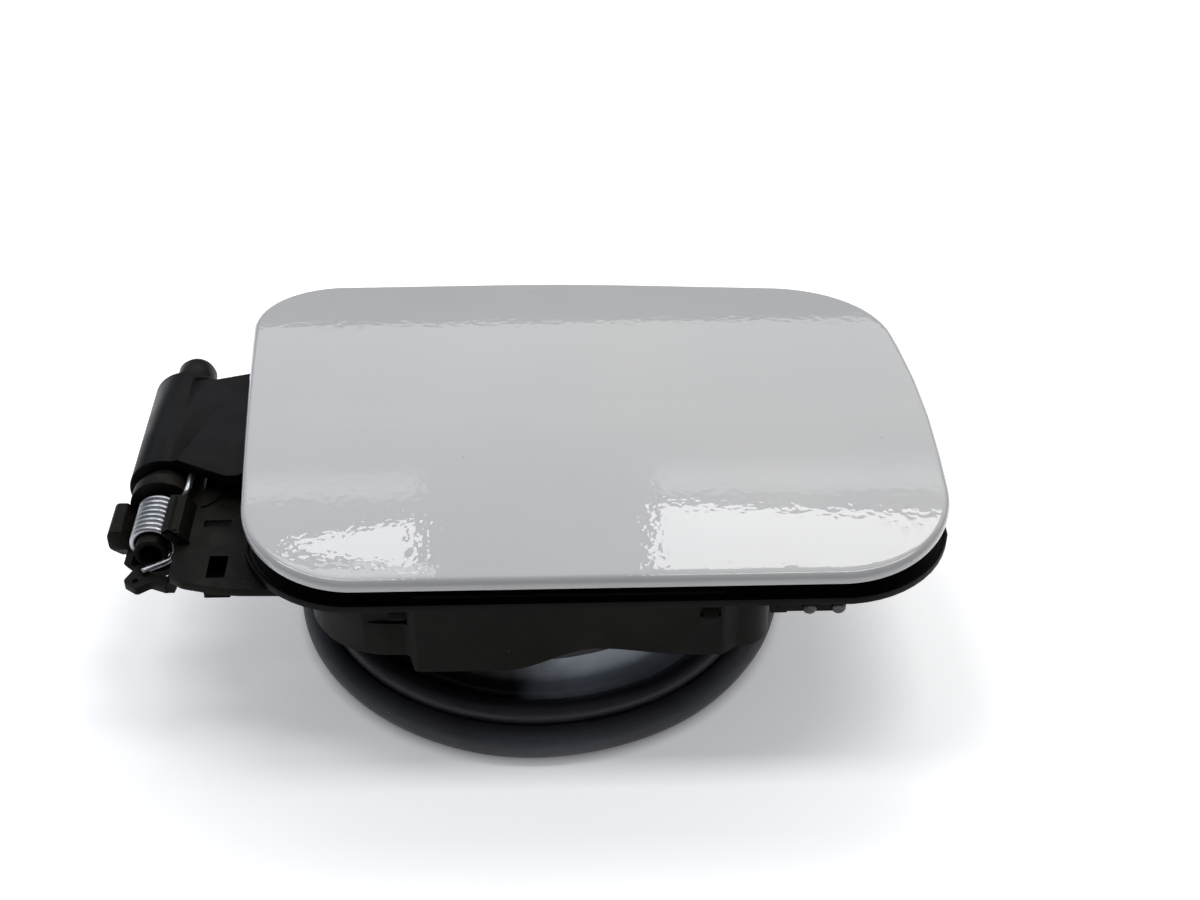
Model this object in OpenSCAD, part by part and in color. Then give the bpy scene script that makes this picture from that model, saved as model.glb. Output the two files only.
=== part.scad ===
// Car fuel door with its hinge, spring, moulded housing pot and rubber boot.
// Origin: axis of the filler neck, on the plane that the boot rests on. +Z leaves through the door.
// +X runs from the hinge to the free edge, and the hinge pin is parallel to Y. Millimetres.

/* [Door] */
// How far the front edge of the door stands out over the pot wall
front_lap = 4.25; // [4:0.25:6]
// How far the back edge of the door stands out over the pot wall
back_lap = 14.25; // [12:0.25:18]
// How far the free edge of the door stands out over the lock pocket
free_lap = 23.75; // [20:0.25:28]
// How far the crowned skin falls from its middle to its lowest edge
crown_drop = 6.1; // [4:0.1:7]
// Corner radius at the two front corners
front_corner_r = 27; // [20:1:32]
// Corner radius at the back corner of the free edge
free_corner_r = 42; // [28:1:48]
// Corner radius at the back corner of the hinge edge
hinge_corner_r = 20; // [14:1:30]
// How far the hinge edge leans out towards the back
hinge_lean = 9.5; // [4:0.5:12]
// How far the free edge leans in towards the back
free_lean = 5; // [2:0.5:8]
// How far the back edge falls towards the free edge
back_fall = 6; // [2:0.5:8]

/* [Door skin] */
// Thickness of the pressed skin
skin_t = 1; // [0.8:0.1:1.2]
// Width of the folded hem under the edge of the skin
hem_w = 4; // [3.4:0.2:5]
// Depth of the rolled edge with its hem
hem_h = 3; // [2.6:0.1:3.2]
// Radius of the rolled edge
roll_r = 2.2; // [1.2:0.1:2.4]

/* [Door carrier] */
// Thickness of the carrier plate under the skin
panel_t = 2.2; // [1.8:0.1:2.4]
// Depth of the ribs on the carrier
rib_h = 3; // [2:0.25:3.4]
// Thickness of a rib
rib_t = 1.6; // [1.2:0.1:2.4]
// Distance between ribs
rib_step = 30; // [22:1:40]
// Length of the cap hook below the carrier
hook_h = 11; // [9:0.5:12]
// Width of the cap hook
hook_w = 12; // [8:0.5:16]
// Diameter of the rubber stops
stop_d = 10; // [8:0.5:13]
// Distance from the front edge of the door to the front rubber stop
stop_front = 26; // [22:1:32]
// Distance from the back edge of the door to the back rubber stop
stop_back = 36; // [28:1:42]

/* [Hinge] */
// Distance from the pot wall to the pin axis
pin_reach = 42.25; // [41:0.25:45]
// How far the pin axis lies below the top of the flange
pin_drop = 5; // [4.8:0.1:5.4]
// Distance from the pin axis to the hinge edge of the door
hinge_gap = 18.5; // [17:0.5:20]
// Diameter of the hinge pin
pin_d = 6; // [5:0.1:6.4]
// Outside diameter of the hinge barrel
barrel_d = 22; // [21:0.1:22.4]
// Length of the hinge barrel
barrel_l = 53.5; // [50:0.5:57]
// Near end of the barrel, in front of the neck axis
barrel_near = 9.5; // [8.5:0.5:11]
// Thickness of the hinge arm
arm_t = 3; // [2.4:0.1:3]
// Width of the arm where it passes under the door
arm_w = 46; // [40:1:50]
// Outside diameter of the pin bushes
bush_d = 10; // [9:0.25:12]
// Length of a bush inside the barrel
bush_l = 14; // [8:1:20]
// Diameter of the bush collars
collar_d = 15; // [13:0.5:16]
// Thickness of the collar on the spring's side
collar_t = 3.4; // [2:0.2:4]
// Diameter of the pin head
head_d = 11.5; // [9:0.5:13]
// Length of the pin head
head_l = 4.6; // [3:0.2:6]
// Diameter of the arm screws
screw_d = 4; // [3:0.1:5]

/* [Spring] */
// Wire diameter of the torsion spring
wire_d = 1.7; // [1.2:0.1:1.8]
// Outside diameter of the coil
coil_d = 13.4; // [12.8:0.1:13.8]
// Number of turns
turns = 9; // [6:1:9]
// Gap between neighbouring turns
turn_gap = 0.2; // [0.16:0.01:0.26]

/* [Housing] */
// Height of the top of the flange above the resting plane
flange_top = 53; // [52.6:0.1:53.2]
// Thickness of the flange
flange_t = 2.2; // [1.8:0.1:2.4]
// Wall of the housing
wall = 2.2; // [1.8:0.1:2.6]
// Inset of the flange from the edge of the door
flange_inset = 2; // [1.8:0.1:2.6]
// Distance from the neck opening to the end walls of the pot
end_room = 15.75; // [14:0.25:17]
// Distance from the neck opening to the side walls of the pot
side_room = 17.75; // [16:0.25:19]
// Depth of the pot wall below the top of the flange
pot_depth = 20; // [19:0.25:21]
// How far the front skirt hangs below that edge
skirt_drop = 4.5; // [2:0.5:6]
// Height of the pot floor above the lower edge of the pot wall
floor_rise = 4; // [3.5:0.25:5]
// Radius of the neck opening in the pot floor
neck_r = 46; // [43:0.5:47]
// Thickness of the hinge plate
plate_t = 2.5; // [2:0.1:3]
// Outside diameter of the spring shell
shell_d = 18; // [17.6:0.1:19]
// Outside diameter of the spigot inside the spring
spigot_d = 9; // [8.6:0.1:9.2]
// Length of the slot for the body clip
clip_l = 11; // [8:0.5:12]
// Width of the slot for the body clip
clip_w = 6.4; // [5:0.2:7]

/* [Seal and boot] */
// Height of the flange seal above the flange
seal_h = 2.6; // [2:0.1:2.7]
// Width of the flange seal
seal_w = 2.2; // [1.8:0.1:2.4]
// How far the boot stands out from the neck opening
boot_reach = 25.7; // [25:0.1:28]
// Radius of the thick bead's section
bead_r = 4.7; // [4.2:0.1:5]
// Radius of the thin bead's section
lip_r = 3.4; // [3:0.1:3.8]
// Width of the foot of the boot, from its opening to its outer edge
foot_w = 13.7; // [13:0.1:15]
// Thickness of the boot wall
boot_t = 2.4; // [2:0.1:2.8]

/* [Lock] */
// How far the lock pin axis lies below the top of the flange
lock_drop = 8.5; // [8.25:0.25:9]
// Bore of the lock bush
lock_d = 7; // [6:0.25:7.5]
// Length of the rail that carries the lock
rail_l = 17.5; // [15:0.5:20]
// Width of the rail
rail_w = 14; // [11:0.5:16]
// Height of the rail
rail_h = 3.4; // [3:0.2:4]
// Length of the lock pocket beside the pot
pocket_l = 26; // [24:1:28]
// Width of the lock pocket
pocket_w = 26; // [24:1:32]

/* [Fits] */
// Gap between the flange seal and the hem of the skin
seal_gap = 1.3; // [1:0.1:1.6]
// Gap between pieces that move past each other
run_gap = 0.3; // [0.26:0.02:0.4]
// Radial clearance of the pin in its bushes
pin_fit = 0.05; // [0.03:0.01:0.08]
// Clearance between pieces that are fixed together
seat_gap = 0.1; // [0.06:0.01:0.14]

/* [Hidden] */
$fn = 96;
big = 400;

// Outlines: each corner is [x, y, radius of its arc]
arc_step = 9;
function unit(v) = v / norm(v);
function flat(p) = [p.x, p.y];
function bearing(v) = atan2(v.y, v.x);
function turned(a) = a > 180 ? a - 360 : a < -180 ? a + 360 : a;
function arc(m, r, start, sweep) =
    let (n = max(1, ceil(abs(sweep) / arc_step)))
    [for (i = [0 : n]) m + r * [cos(start + sweep * i / n), sin(start + sweep * i / n)]];
function fillet(a, b, c, r) =
    let (
        u = unit(a - b),
        w = unit(c - b),
        half = acos(u * w) / 2,
        m = b + unit(u + w) * r / sin(half),
        start = bearing(b + u * r / tan(half) - m),
        end = bearing(b + w * r / tan(half) - m)
    )
    arc(m, r, start, turned(end - start));
function outline(corners) =
    let (n = len(corners))
    [for (i = [0 : n - 1])
        each fillet(flat(corners[(i + n - 1) % n]), flat(corners[i]), flat(corners[(i + 1) % n]), corners[i][2])];
// The same outline moved inwards by a distance, point for point
function inwards(pts, d) =
    let (n = len(pts))
    [for (i = [0 : n - 1])
        let (along = unit(pts[(i + 1) % n] - pts[(i + n - 1) % n]))
        pts[i] + d * [-along.y, along.x]];

// Pot and boot round the neck
pot_right = neck_r + end_room;
pot_left = -pot_right;
pot_back = neck_r + side_room;
pot_front = -pot_back;
pocket_x1 = pot_right + pocket_l;
boot_r = neck_r + boot_reach;
foot_r = boot_r - foot_w;
pin_x = pot_right + pin_reach;

// Door outline
door_left = hinge_gap - pin_x;
door_right = pocket_x1 + free_lap;
front_y = pot_front - front_lap;
back_y = pot_back + back_lap;
door_w = back_y - front_y;
door_l = door_right - door_left;
mid_y = (front_y + back_y) / 2;
bow = 1.5;
bow_r = 260;
back_right = [door_right - free_lean, back_y - back_fall];
DOOR = outline([
    [door_left + hinge_lean, front_y, front_corner_r],
    [door_right, front_y, front_corner_r],
    [(door_right + back_right.x) / 2 + bow, mid_y, bow_r],
    [back_right.x, back_right.y, free_corner_r],
    [(door_left + back_right.x) / 2, (back_y + back_right.y) / 2 + bow, bow_r],
    [door_left, back_y, hinge_corner_r]
]);

// Heights that follow from the flange: the skin lies above the seal, the rest below the flange
door_top = flange_top + seal_h + seal_gap + hem_h + crown_drop;
crown_reach = max(-front_y, back_y);
crown_r = (crown_reach * crown_reach + crown_drop * crown_drop) / (2 * crown_drop);
pin_z = flange_top - pin_drop;
pot_edge = flange_top - pot_depth;
floor_z = pot_edge + floor_rise;
lock_z = flange_top - lock_drop;

// Height of the crowned skin at a place across the door
function crown(y) = door_top - crown_r + sqrt(crown_r * crown_r - y * y);

// Everything below the crown, lowered by a depth
module under_crown(depth) {
    translate([0, 0, door_top - crown_r])
        rotate([0, 90, 0])
            cylinder(r = crown_r - depth, h = big, center = true, $fn = 360);
}

module slab(z0, z1, pts) {
    translate([0, 0, z0]) linear_extrude(z1 - z0) polygon(pts);
}

// A block between two corners
module block(a, b) {
    translate(a) cube(b - a);
}

// A cylinder along Y from y0 to y1, on the pin axis
module on_pin(d, y0, y1) {
    translate([-pin_x, y0, pin_z]) rotate([-90, 0, 0]) cylinder(d = d, h = y1 - y0);
}

// Heights and places that follow from the driving sizes
barrel_r = barrel_d / 2;
barrel_y0 = -barrel_near;
barrel_y1 = barrel_y0 + barrel_l;
far_collar_t = 1;
lug_t = 4;
boss_t = 4;
boss_y1 = barrel_y0 - collar_t - run_gap;
boss_y0 = boss_y1 - boss_t;
lug_y0 = barrel_y1 + far_collar_t + run_gap;
lug_y1 = lug_y0 + lug_t;
plate_z1 = flange_top - flange_t;
plate_z0 = plate_z1 - plate_t;
arm_top = pin_z + barrel_r - 0.3;
skin_gap = 0.3;
panel_top = skin_t + skin_gap;
panel_bottom = panel_top + panel_t;
land_z = door_top - 4.8;

// Pot
pot_corner_r = 23;
left_recess = 2;
right_recess = 3;
skirt_x0 = pot_left + 29;
skirt_x1 = skirt_x0 + 32;
bevel_x = pot_right - 13;
POT = outline([
    [pot_left, pot_front + left_recess, pot_corner_r],
    [skirt_x0 - 2, pot_front + left_recess, 1.5],
    [skirt_x0 + 1, pot_front, 1.5],
    [bevel_x, pot_front, 2],
    [bevel_x + 4, pot_front + right_recess, 2],
    [pot_right, pot_front + right_recess, 8.5],
    [pot_right, pot_back, pot_corner_r],
    [pot_left, pot_back, pot_corner_r]
]);
skirt_z = pot_edge - skirt_drop;
arch_z = pot_edge + 3;
collar_h = 7.5;
rim_h = 1.6;

// Lower edge of the front wall: the skirt, a smooth rise to the arch, and a slow fall from it
function ease(t) = t * t * (3 - 2 * t);
arch_x0 = skirt_x1 - 8;
arch_x1 = skirt_x1 + 16;
arch_x2 = skirt_x1 + 42;
LOWER_EDGE = concat(
    [[skirt_x0 - 1, pot_edge], [skirt_x0, skirt_z]],
    [for (t = [0 : 0.125 : 1]) [arch_x0 + (arch_x1 - arch_x0) * t, skirt_z + (arch_z - skirt_z) * ease(t)]],
    [for (t = [0.2 : 0.2 : 1]) [arch_x1 + (arch_x2 - arch_x1) * t, arch_z + (pot_edge - arch_z) * ease(t)]]
);

// Lock pocket
pocket_z = lock_z - 8.5 - wall;
bush_wall = 1.5;
striker_x = pot_right + pocket_l / 2;

// Hinge plate, with a stretch cut back for the barrel
plate_clear_x = -pin_x + barrel_r + 2 * run_gap;
shell_x = -pin_x + shell_d / 2;
plate_front = front_y + 11.4;
PLATE = outline([
    [pot_left + pot_corner_r, plate_front, 3],
    [door_left + 4, plate_front + 1.4, 30],
    [shell_x + 1.8, plate_front + 5, 6],
    [shell_x - 2, plate_front + 8, 1.5],
    [shell_x - 1.5, boss_y1, 0.5],
    [plate_clear_x, boss_y1, 0.5],
    [plate_clear_x, lug_y0, 0.5],
    [shell_x - 4, lug_y0, 0.5],
    [shell_x - 4, lug_y1, 0.5],
    [plate_clear_x + 14, lug_y1 + 3, 6],
    [pot_left + pot_corner_r, lug_y1 + 3, 3]
]);
clip_x = door_left + 0.8;
clip_y = plate_front + 11.2;

// Lug that holds the long end of the spring
lug_z1 = pin_z - 3;
lug_z0 = lug_z1 - 2.4;
lug_y = boss_y0 - 25.5;
LUG = outline([
    [-pin_x - 6.5, lug_y - 1.5, 1.2],
    [-pin_x - 2, lug_y - 4.5, 1.5],
    [-pin_x + 2.5, lug_y - 2, 1.2],
    [shell_x - 1, lug_y - 5.2, 0.8],
    [shell_x - 0.4, lug_y - 1, 0.8],
    [-pin_x + 2.5, lug_y + 1.4, 1.2],
    [-pin_x - 1.6, lug_y + 3.6, 0.8],
    [-pin_x - 1.2, lug_y + 7, 0.5],
    [-pin_x - 4.4, lug_y + 7, 0.5],
    [-pin_x - 4.2, lug_y + 3.2, 1]
]);

// Ear beside the spring shell
ear_y1 = boss_y0 + 1;
ear_y0 = ear_y1 - 14;
ear_x = -pin_x - shell_d / 2;
ear_l = 9;

shell_y0 = boss_y0 - turns * (wire_d + turn_gap) - wire_d;
shell_bore = coil_d + 1.2;
spigot_y0 = shell_y0 - 0.8;
pin_end_y = boss_y0 - 8;

// Flange, raised rim and pot wall as one shell
module housing() {
    color([0.06, 0.06, 0.06])
    difference() {
        union() {
            slab(plate_z1, flange_top, inwards(DOOR, flange_inset));
            slab(flange_top - 0.5, flange_top + rim_h, inwards(POT, 1));
            pot_block();
        }
        pot_inside(skirt_z - 1, flange_top + rim_h + 1);
        lock_hollow();
        clip_slot();
    }
}

// Floor of the pot, with the collar that the boot is pulled over
module pot_floor() {
    color([0.06, 0.06, 0.06])
    difference() {
        union() {
            pot_inside(floor_z, floor_z + wall);
            translate([0, 0, floor_z - collar_h]) cylinder(r = neck_r + wall, h = collar_h + 0.5);
        }
        translate([0, 0, floor_z - collar_h - 1]) cylinder(r = neck_r, h = collar_h + wall + 2);
    }
}

module pot_inside(z0, z1) {
    translate([0, 0, z0]) linear_extrude(z1 - z0) offset(delta = -wall) polygon(POT);
}

// Outside of the pot, with its lower edge cut to shape all round
module pot_block() {
    difference() {
        slab(skirt_z, flange_top - 0.5, POT);
        block([-big, pot_front + wall + 2, skirt_z - 2], [big, big, pot_edge]);
        translate([0, pot_front + wall + 3, 0])
            rotate([90, 0, 0])
                linear_extrude(wall + 6)
                    polygon(concat([[pot_left - 1, pot_edge]], LOWER_EDGE,
                        [[pot_right + 1, pot_edge], [pot_right + 1, skirt_z - 2], [pot_left - 1, skirt_z - 2]]));
        // Shallow windows round the two snap tongues
        for (w = SNAPS)
            block([w[0], pot_front - 2, plate_z1 - w[2]], [w[0] + w[1], pot_front + w[3] + 0.9, plate_z1 - 0.8]);
    }
    // Snap tongues: wedges that stand out of the windows
    for (w = SNAPS)
        translate([w[0] + w[1] - 4.6, pot_front + w[3] + 1.2, plate_z1 - 0.9])
            rotate([0, 90, 0])
                linear_extrude(4)
                    polygon([[0, 0.4], [0, -0.4], [2.8, -2.2], [3.4, -2.2], [3.4, 0.4]]);
}

// Snap windows: [left end, length, depth, how far the wall stands back there]
SNAPS = [[pot_left + 12.5, 15.5, 6.5, left_recess], [bevel_x - 6.4, 5.4, 4, 0]];

// Box beside the pot that takes the striker, with the bore for the lock bush
module lock_pocket() {
    color([0.06, 0.06, 0.06])
    difference() {
        block([pot_right, -pocket_w / 2, pocket_z], [pocket_x1, pocket_w / 2, plate_z1]);
        lock_hollow();
        lock_bore(lock_d + 2 * bush_wall + 2 * seat_gap);
    }
}

module lock_hollow() {
    block([pot_right, -pocket_w / 2 + wall, pocket_z + wall],
        [pocket_x1 - wall, pocket_w / 2 - wall, flange_top + 2 * rim_h]);
}

module lock_bore(d) {
    translate([pocket_x1 - 2 * wall, 0, lock_z]) rotate([0, 90, 0]) cylinder(d = d, h = 3 * wall);
}

// Slot for the body clip, through the plate and the edge of the flange
module clip_slot() {
    block([clip_x - clip_w / 2, clip_y - clip_l / 2, plate_z0 - 1],
        [clip_x + clip_w / 2, clip_y + clip_l / 2, flange_top + 1]);
}

module frame_block() {
    difference() {
        slab(plate_z0, plate_z1, PLATE);
        slab(plate_z0 - 1, plate_z1 + 1, POT);
    }
    // Near boss with the shell round the spring, its window and the notch for the short end
    difference() {
        on_pin(shell_d, shell_y0, boss_y1);
        block([-pin_x - shell_d, shell_y0 - 1, pin_z - 4], [-pin_x + 5.2, boss_y0, pin_z + shell_d]);
        block([-pin_x, boss_y0 - wire_d - 2, pin_z + 1.5], [-pin_x + shell_d, boss_y0, pin_z + shell_d]);
    }
    // Far lug with its web
    on_pin(shell_d - 5, lug_y0, lug_y1);
    block([-pin_x, lug_y0, plate_z0 - 3], [plate_clear_x + 2, lug_y1, plate_z1]);
    // Ear, open below
    difference() {
        translate([0, ear_y0, 0])
            rotate([90, 0, 0])
                mirror([0, 0, 1])
                    linear_extrude(ear_y1 - ear_y0)
                        polygon(outline([
                            [ear_x + 4.5, pin_z - 8.5, 1],
                            [ear_x + 4.5, pin_z - 4.2, 1],
                            [ear_x - 2, pin_z + 1, 2.5],
                            [ear_x - ear_l, pin_z + 1, 3],
                            [ear_x - ear_l, pin_z - 7, 2.5],
                            [ear_x - 3, pin_z - 10, 3]
                        ]));
        block([ear_x - ear_l + 2.4, ear_y0 + 2, pin_z - 12], [ear_x - 1.6, ear_y1 - 2, pin_z - 2.6]);
    }
    // Spring lug with its web up to the plate
    slab(lug_z0, lug_z1, LUG);
    block([shell_x - 1.6, lug_y - 4.6, lug_z0], [shell_x + 0.8, lug_y + 2, plate_z0 + 0.5]);
    // Neck of the lug, under the open end of the shell
    block([-pin_x - 4.4, lug_y + 5, lug_z0], [-pin_x - 1.2, shell_y0 + 3, pin_z - 4.6]);
}

// Hinge plate with the spring shell, the ear, the spring lug and the two seats of the pin
module hinge_frame() {
    color([0.06, 0.06, 0.06])
    difference() {
        union() {
            difference() {
                frame_block();
                on_pin(shell_bore, spigot_y0 - 1, boss_y0);
            }
            on_pin(spigot_d, spigot_y0, boss_y0 + 0.5);
        }
        // Bore for the pin, through the near boss and the far lug
        on_pin(pin_d + 2 * seat_gap, spigot_y0 - 1, lug_y1 + 1);
        clip_slot();
        // Drain slot behind the clip
        block([clip_x - 6, clip_y + 14, plate_z0 - 1], [clip_x + 1.4, clip_y + 16.6, plate_z1 + 0.2]);
        // Hole in the spring lug
        translate([-pin_x - 2.8, lug_y - 1.4, lug_z0 - 1]) cylinder(d = 1.8, h = 5);
    }
}

// Rail for the lock, under the free end of the front flange
module lock_rail() {
    color([0.06, 0.06, 0.06])
    difference() {
        union() {
            block([pot_right + 1, bracket_y, plate_z1 - rail_h], [pot_right + 1 + rail_l, bracket_y + rail_w, plate_z1]);
            block([pot_right - 1, bracket_y + 0.8, plate_z1 - rail_h - 1.2], [pot_right + 3.4, bracket_y + rail_w, plate_z1]);
        }
        slab(plate_z0 - 4, plate_z1 + 1, POT);
        for (i = [0 : 1])
            bracket_hole(i);
    }
}

bracket_y = front_y + 5;
function bracket_screw_x(i) = pot_right + 9 + 7.5 * i;
bracket_screw_d = 2.6;
bracket_screw_z = plate_z1 - rail_h / 2 - 0.2;

module bracket_hole(i) {
    translate([bracket_screw_x(i), bracket_y - 1, bracket_screw_z])
        rotate([-90, 0, 0]) cylinder(d = bracket_screw_d, h = 9);
}

module bracket_screw(i) {
    color([0.6, 0.6, 0.62])
    translate([bracket_screw_x(i), bracket_y, bracket_screw_z])
        rotate([-90, 0, 0]) {
            translate([0, 0, -1.3]) cylinder(d1 = bracket_screw_d, d2 = bracket_screw_d + 0.9, h = 0.5);
            translate([0, 0, -0.8]) cylinder(d = bracket_screw_d + 0.9, h = 0.8);
            cylinder(d = bracket_screw_d - 2 * seat_gap, h = 7.5);
        }
}

module flange_seal() {
    seal_out = flange_inset - 1.4;
    lip_t = 1.2;
    color([0.09, 0.09, 0.1]) {
        // Skirt over the edge of the flange
        difference() {
            slab(plate_z1 + seat_gap, flange_top + seal_h, inwards(DOOR, seal_out));
            slab(plate_z1 - 2, flange_top + seal_h + 1, inwards(DOOR, flange_inset - seat_gap));
        }
        // Flat part on top of the flange
        difference() {
            slab(flange_top, flange_top + 1.4, inwards(DOOR, flange_inset - 0.3));
            slab(flange_top - 1, flange_top + 3, inwards(DOOR, flange_inset + seal_w));
        }
        // Inner lip
        difference() {
            slab(flange_top + 1, flange_top + seal_h - 0.4, inwards(DOOR, flange_inset + seal_w - lip_t));
            slab(flange_top, flange_top + seal_h + 1, inwards(DOOR, flange_inset + seal_w));
        }
    }
}

// Section of the boot in the plane of its axis
module boot_section() {
    neck = neck_r + wall + seat_gap;
    bead_x = boot_r - bead_r;
    lip_x = bead_x - 4.6;
    lip_z = 2 * bead_r + 1.6;
    fold_x = lip_x - lip_r - 4.6;
    neck_z = floor_z - collar_h + 1;
    translate([bead_x, bead_r + 0.15]) circle(bead_r, $fn = 40);
    translate([lip_x, lip_z]) circle(lip_r, $fn = 36);
    polygon([
        [foot_r, 0], [bead_x + 1.6, 0], [bead_x + 0.5, bead_r * 1.4], [lip_x + 1.8, lip_z], [lip_x - 1, lip_z + 1.2],
        [lip_x - lip_r - 1, lip_z - 0.2], [fold_x + 0.8, lip_z], [neck + boot_t + 0.6, neck_z - 1.6],
        [neck + boot_t, neck_z], [neck + boot_t, floor_z - 0.3], [neck, floor_z - 0.3], [neck, neck_z - 1],
        [fold_x - boot_t + 0.9, lip_z - 2.2], [foot_r, lip_z - 3.2]
    ]);
}

module boot() {
    color([0.07, 0.07, 0.08])
    rotate_extrude($fn = 180) boot_section();
}

module boot_clamp() {
    clamp_r = neck_r + wall + seat_gap + boot_t + seat_gap;
    clamp_t = 1;
    clamp_h = 4;
    color([0.62, 0.62, 0.64])
    translate([0, 0, floor_z - 1 - clamp_h])
        difference() {
            union() {
                cylinder(r = clamp_r + clamp_t, h = clamp_h);
                // Pinched ear that tightens the band
                translate([-2.5, clamp_r, 0]) cube([5, clamp_t + 3, clamp_h]);
            }
            translate([0, 0, -1]) cylinder(r = clamp_r, h = clamp_h + 2);
            translate([-1.5, clamp_r + clamp_t, -1]) cube([3, 2, clamp_h + 2]);
        }
}

module lock_bush() {
    color([0.12, 0.12, 0.12])
    difference() {
        union() {
            translate([pocket_x1 - wall, 0, lock_z])
                rotate([0, 90, 0]) cylinder(d = lock_d + 2 * bush_wall, h = wall + 1.4);
            translate([pocket_x1 + seat_gap, 0, lock_z])
                rotate([0, 90, 0]) cylinder(d = lock_d + 2 * bush_wall + 2, h = 1.4 - seat_gap);
        }
        lock_bore(lock_d);
    }
}

module hinge_pin() {
    color([0.1, 0.1, 0.1]) {
        on_pin(pin_d, pin_end_y + 1, lug_y1 + seat_gap);
        translate([-pin_x, pin_end_y, pin_z])
            rotate([-90, 0, 0]) cylinder(d1 = pin_d - 1.6, d2 = pin_d, h = 1);
        on_pin(head_d, lug_y1 + seat_gap, lug_y1 + head_l - 1);
        translate([-pin_x, lug_y1 + head_l - 1, pin_z])
            rotate([-90, 0, 0]) cylinder(d1 = head_d, d2 = head_d - 2, h = 1);
    }
}

module bush(y0, y1, flange_y0, flange_y1) {
    color([0.2, 0.2, 0.2])
    difference() {
        union() {
            on_pin(bush_d, y0, y1);
            on_pin(collar_d, flange_y0, flange_y1);
        }
        on_pin(pin_d + 2 * pin_fit, min(y0, flange_y0) - 1, max(y1, flange_y1) + 1);
    }
}

module bush_near() {
    bush(barrel_y0 - collar_t, barrel_y0 + bush_l, barrel_y0 - collar_t, barrel_y0);
}

module bush_far() {
    bush(barrel_y1 - bush_l, barrel_y1 + far_collar_t, barrel_y1, barrel_y1 + far_collar_t);
}

// Hinge arm: the strap seen from the side, with its step up to the land under the carrier
arm_end = -46;
arm_y0 = barrel_y0 - 4;
arm_y1 = arm_y0 + arm_w;
arm_step_x = door_left + 3;
STRAP = outline([
    [-pin_x, arm_top, 0.5],
    [arm_step_x, arm_top, 3],
    [arm_step_x + 5, land_z, 2],
    [arm_end, land_z, 0.5],
    [arm_end, land_z - arm_t, 1],
    [arm_step_x + 6, land_z - arm_t, 4],
    [arm_step_x + 1, arm_top - arm_t, 2],
    [-pin_x, arm_top - arm_t, 0.5]
]);
ARM_PLAN = outline([
    [-pin_x - 1, barrel_y0, 0.5],
    [-pin_x + 4, barrel_y0, 2],
    [door_left, arm_y0, 6],
    [arm_end, arm_y0, 5],
    [arm_end, arm_y1, 5],
    [door_left, arm_y1, 10],
    [-pin_x + 6, barrel_y1 - 4, 8],
    [-pin_x - 1, barrel_y1 - 4, 0.5]
]);
function screw_place(i) = [
    [arm_step_x + 13, (arm_y0 + arm_y1) / 2 - arm_w * 0.3],
    [arm_step_x + 13, (arm_y0 + arm_y1) / 2 + arm_w * 0.3],
    [arm_end - 8, (arm_y0 + arm_y1) / 2]
][i];

module hinge_arm() {
    color([0.08, 0.08, 0.08])
    difference() {
        union() {
            on_pin(barrel_d, barrel_y0, barrel_y1);
            intersection() {
                translate([0, barrel_y1, 0]) rotate([90, 0, 0]) linear_extrude(barrel_l + 10) polygon(STRAP);
                slab(0, door_top, ARM_PLAN);
            }
            // Gussets between the barrel and the strap
            for (y = [barrel_y0 + 3, barrel_y1 - 14])
                translate([0, y + 3, 0])
                    rotate([90, 0, 0])
                        linear_extrude(3)
                            polygon([[-pin_x + 6, arm_top - 1], [-pin_x + 6, plate_z1 + 1],
                                [-pin_x + barrel_r + 0.5, plate_z1 + 1], [door_left - 0.6, arm_top - arm_t + 0.2],
                                [door_left - 0.6, arm_top - 1]]);
        }
        on_pin(bush_d + 2 * press_gap, barrel_y0 - 1, barrel_y1 + 1);
        for (i = [0 : 2])
            translate([screw_place(i).x, screw_place(i).y, 0]) cylinder(d = screw_d + 2 * seat_gap, h = door_top);
    }
}

press_gap = 0.02;
screw_head_h = 2;

module arm_screw(i) {
    color([0.3, 0.3, 0.3])
    translate([screw_place(i).x, screw_place(i).y, land_z - arm_t])
        difference() {
            union() {
                translate([0, 0, -screw_head_h]) cylinder(d = 2 * screw_d, h = screw_head_h);
                cylinder(d = screw_d, h = arm_t + screw_bite);
            }
            // Hexagonal socket
            translate([0, 0, -screw_head_h - 1]) cylinder(d = screw_d * 0.7, h = 2.2, $fn = 6);
        }
}

screw_bite = 2.4;

// Ribs of the carrier, seen from below
module rib_plan() {
    for (x = [door_left + rib_step : rib_step : door_right - 12])
        translate([x - rib_t / 2, front_y]) square([rib_t, door_w]);
    for (y = [front_y + rib_step : rib_step : back_y - 12])
        translate([door_left, y - rib_t / 2]) square([door_l, rib_t]);
    // Rib round the edge
    difference() {
        polygon(inwards(DOOR, hem_w + 5));
        polygon(inwards(DOOR, hem_w + 5 + rib_t));
    }
}

hook_x = 4;
hook_base = [24, hook_w + 6];
striker_base = [14, 20];
foot_t = 2;
foot_z1 = door_top - panel_bottom - 0.15;
foot_z0 = foot_z1 - foot_t;
stud_d = 5;
stop_x = door_right - 17.5;
function stop_y(i) = i == 0 ? front_y + stop_front : back_y - stop_back;

// Flat feet of the hook, the striker and the stops stay clear of the ribs
module rib_free_plan() {
    translate([hook_x - hook_base.x / 2 - 1, -hook_base.y / 2 - 1]) square(hook_base + [2, 2]);
    translate([striker_x - striker_base.x / 2 - 1, -striker_base.y / 2 - 1]) square(striker_base + [2, 2]);
    for (i = [0 : 1])
        translate([stop_x, stop_y(i)]) circle(d = stop_d + 3);
    translate([arm_step_x - 3, arm_y0 - 4]) square([arm_end - arm_step_x + 9, arm_w + 8]);
}

// All that lies under the skin and inside its hem
module panel_block() {
    intersection() {
        slab(0, door_top, inwards(DOOR, hem_w + 0.6));
        under_crown(panel_top);
    }
}

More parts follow.
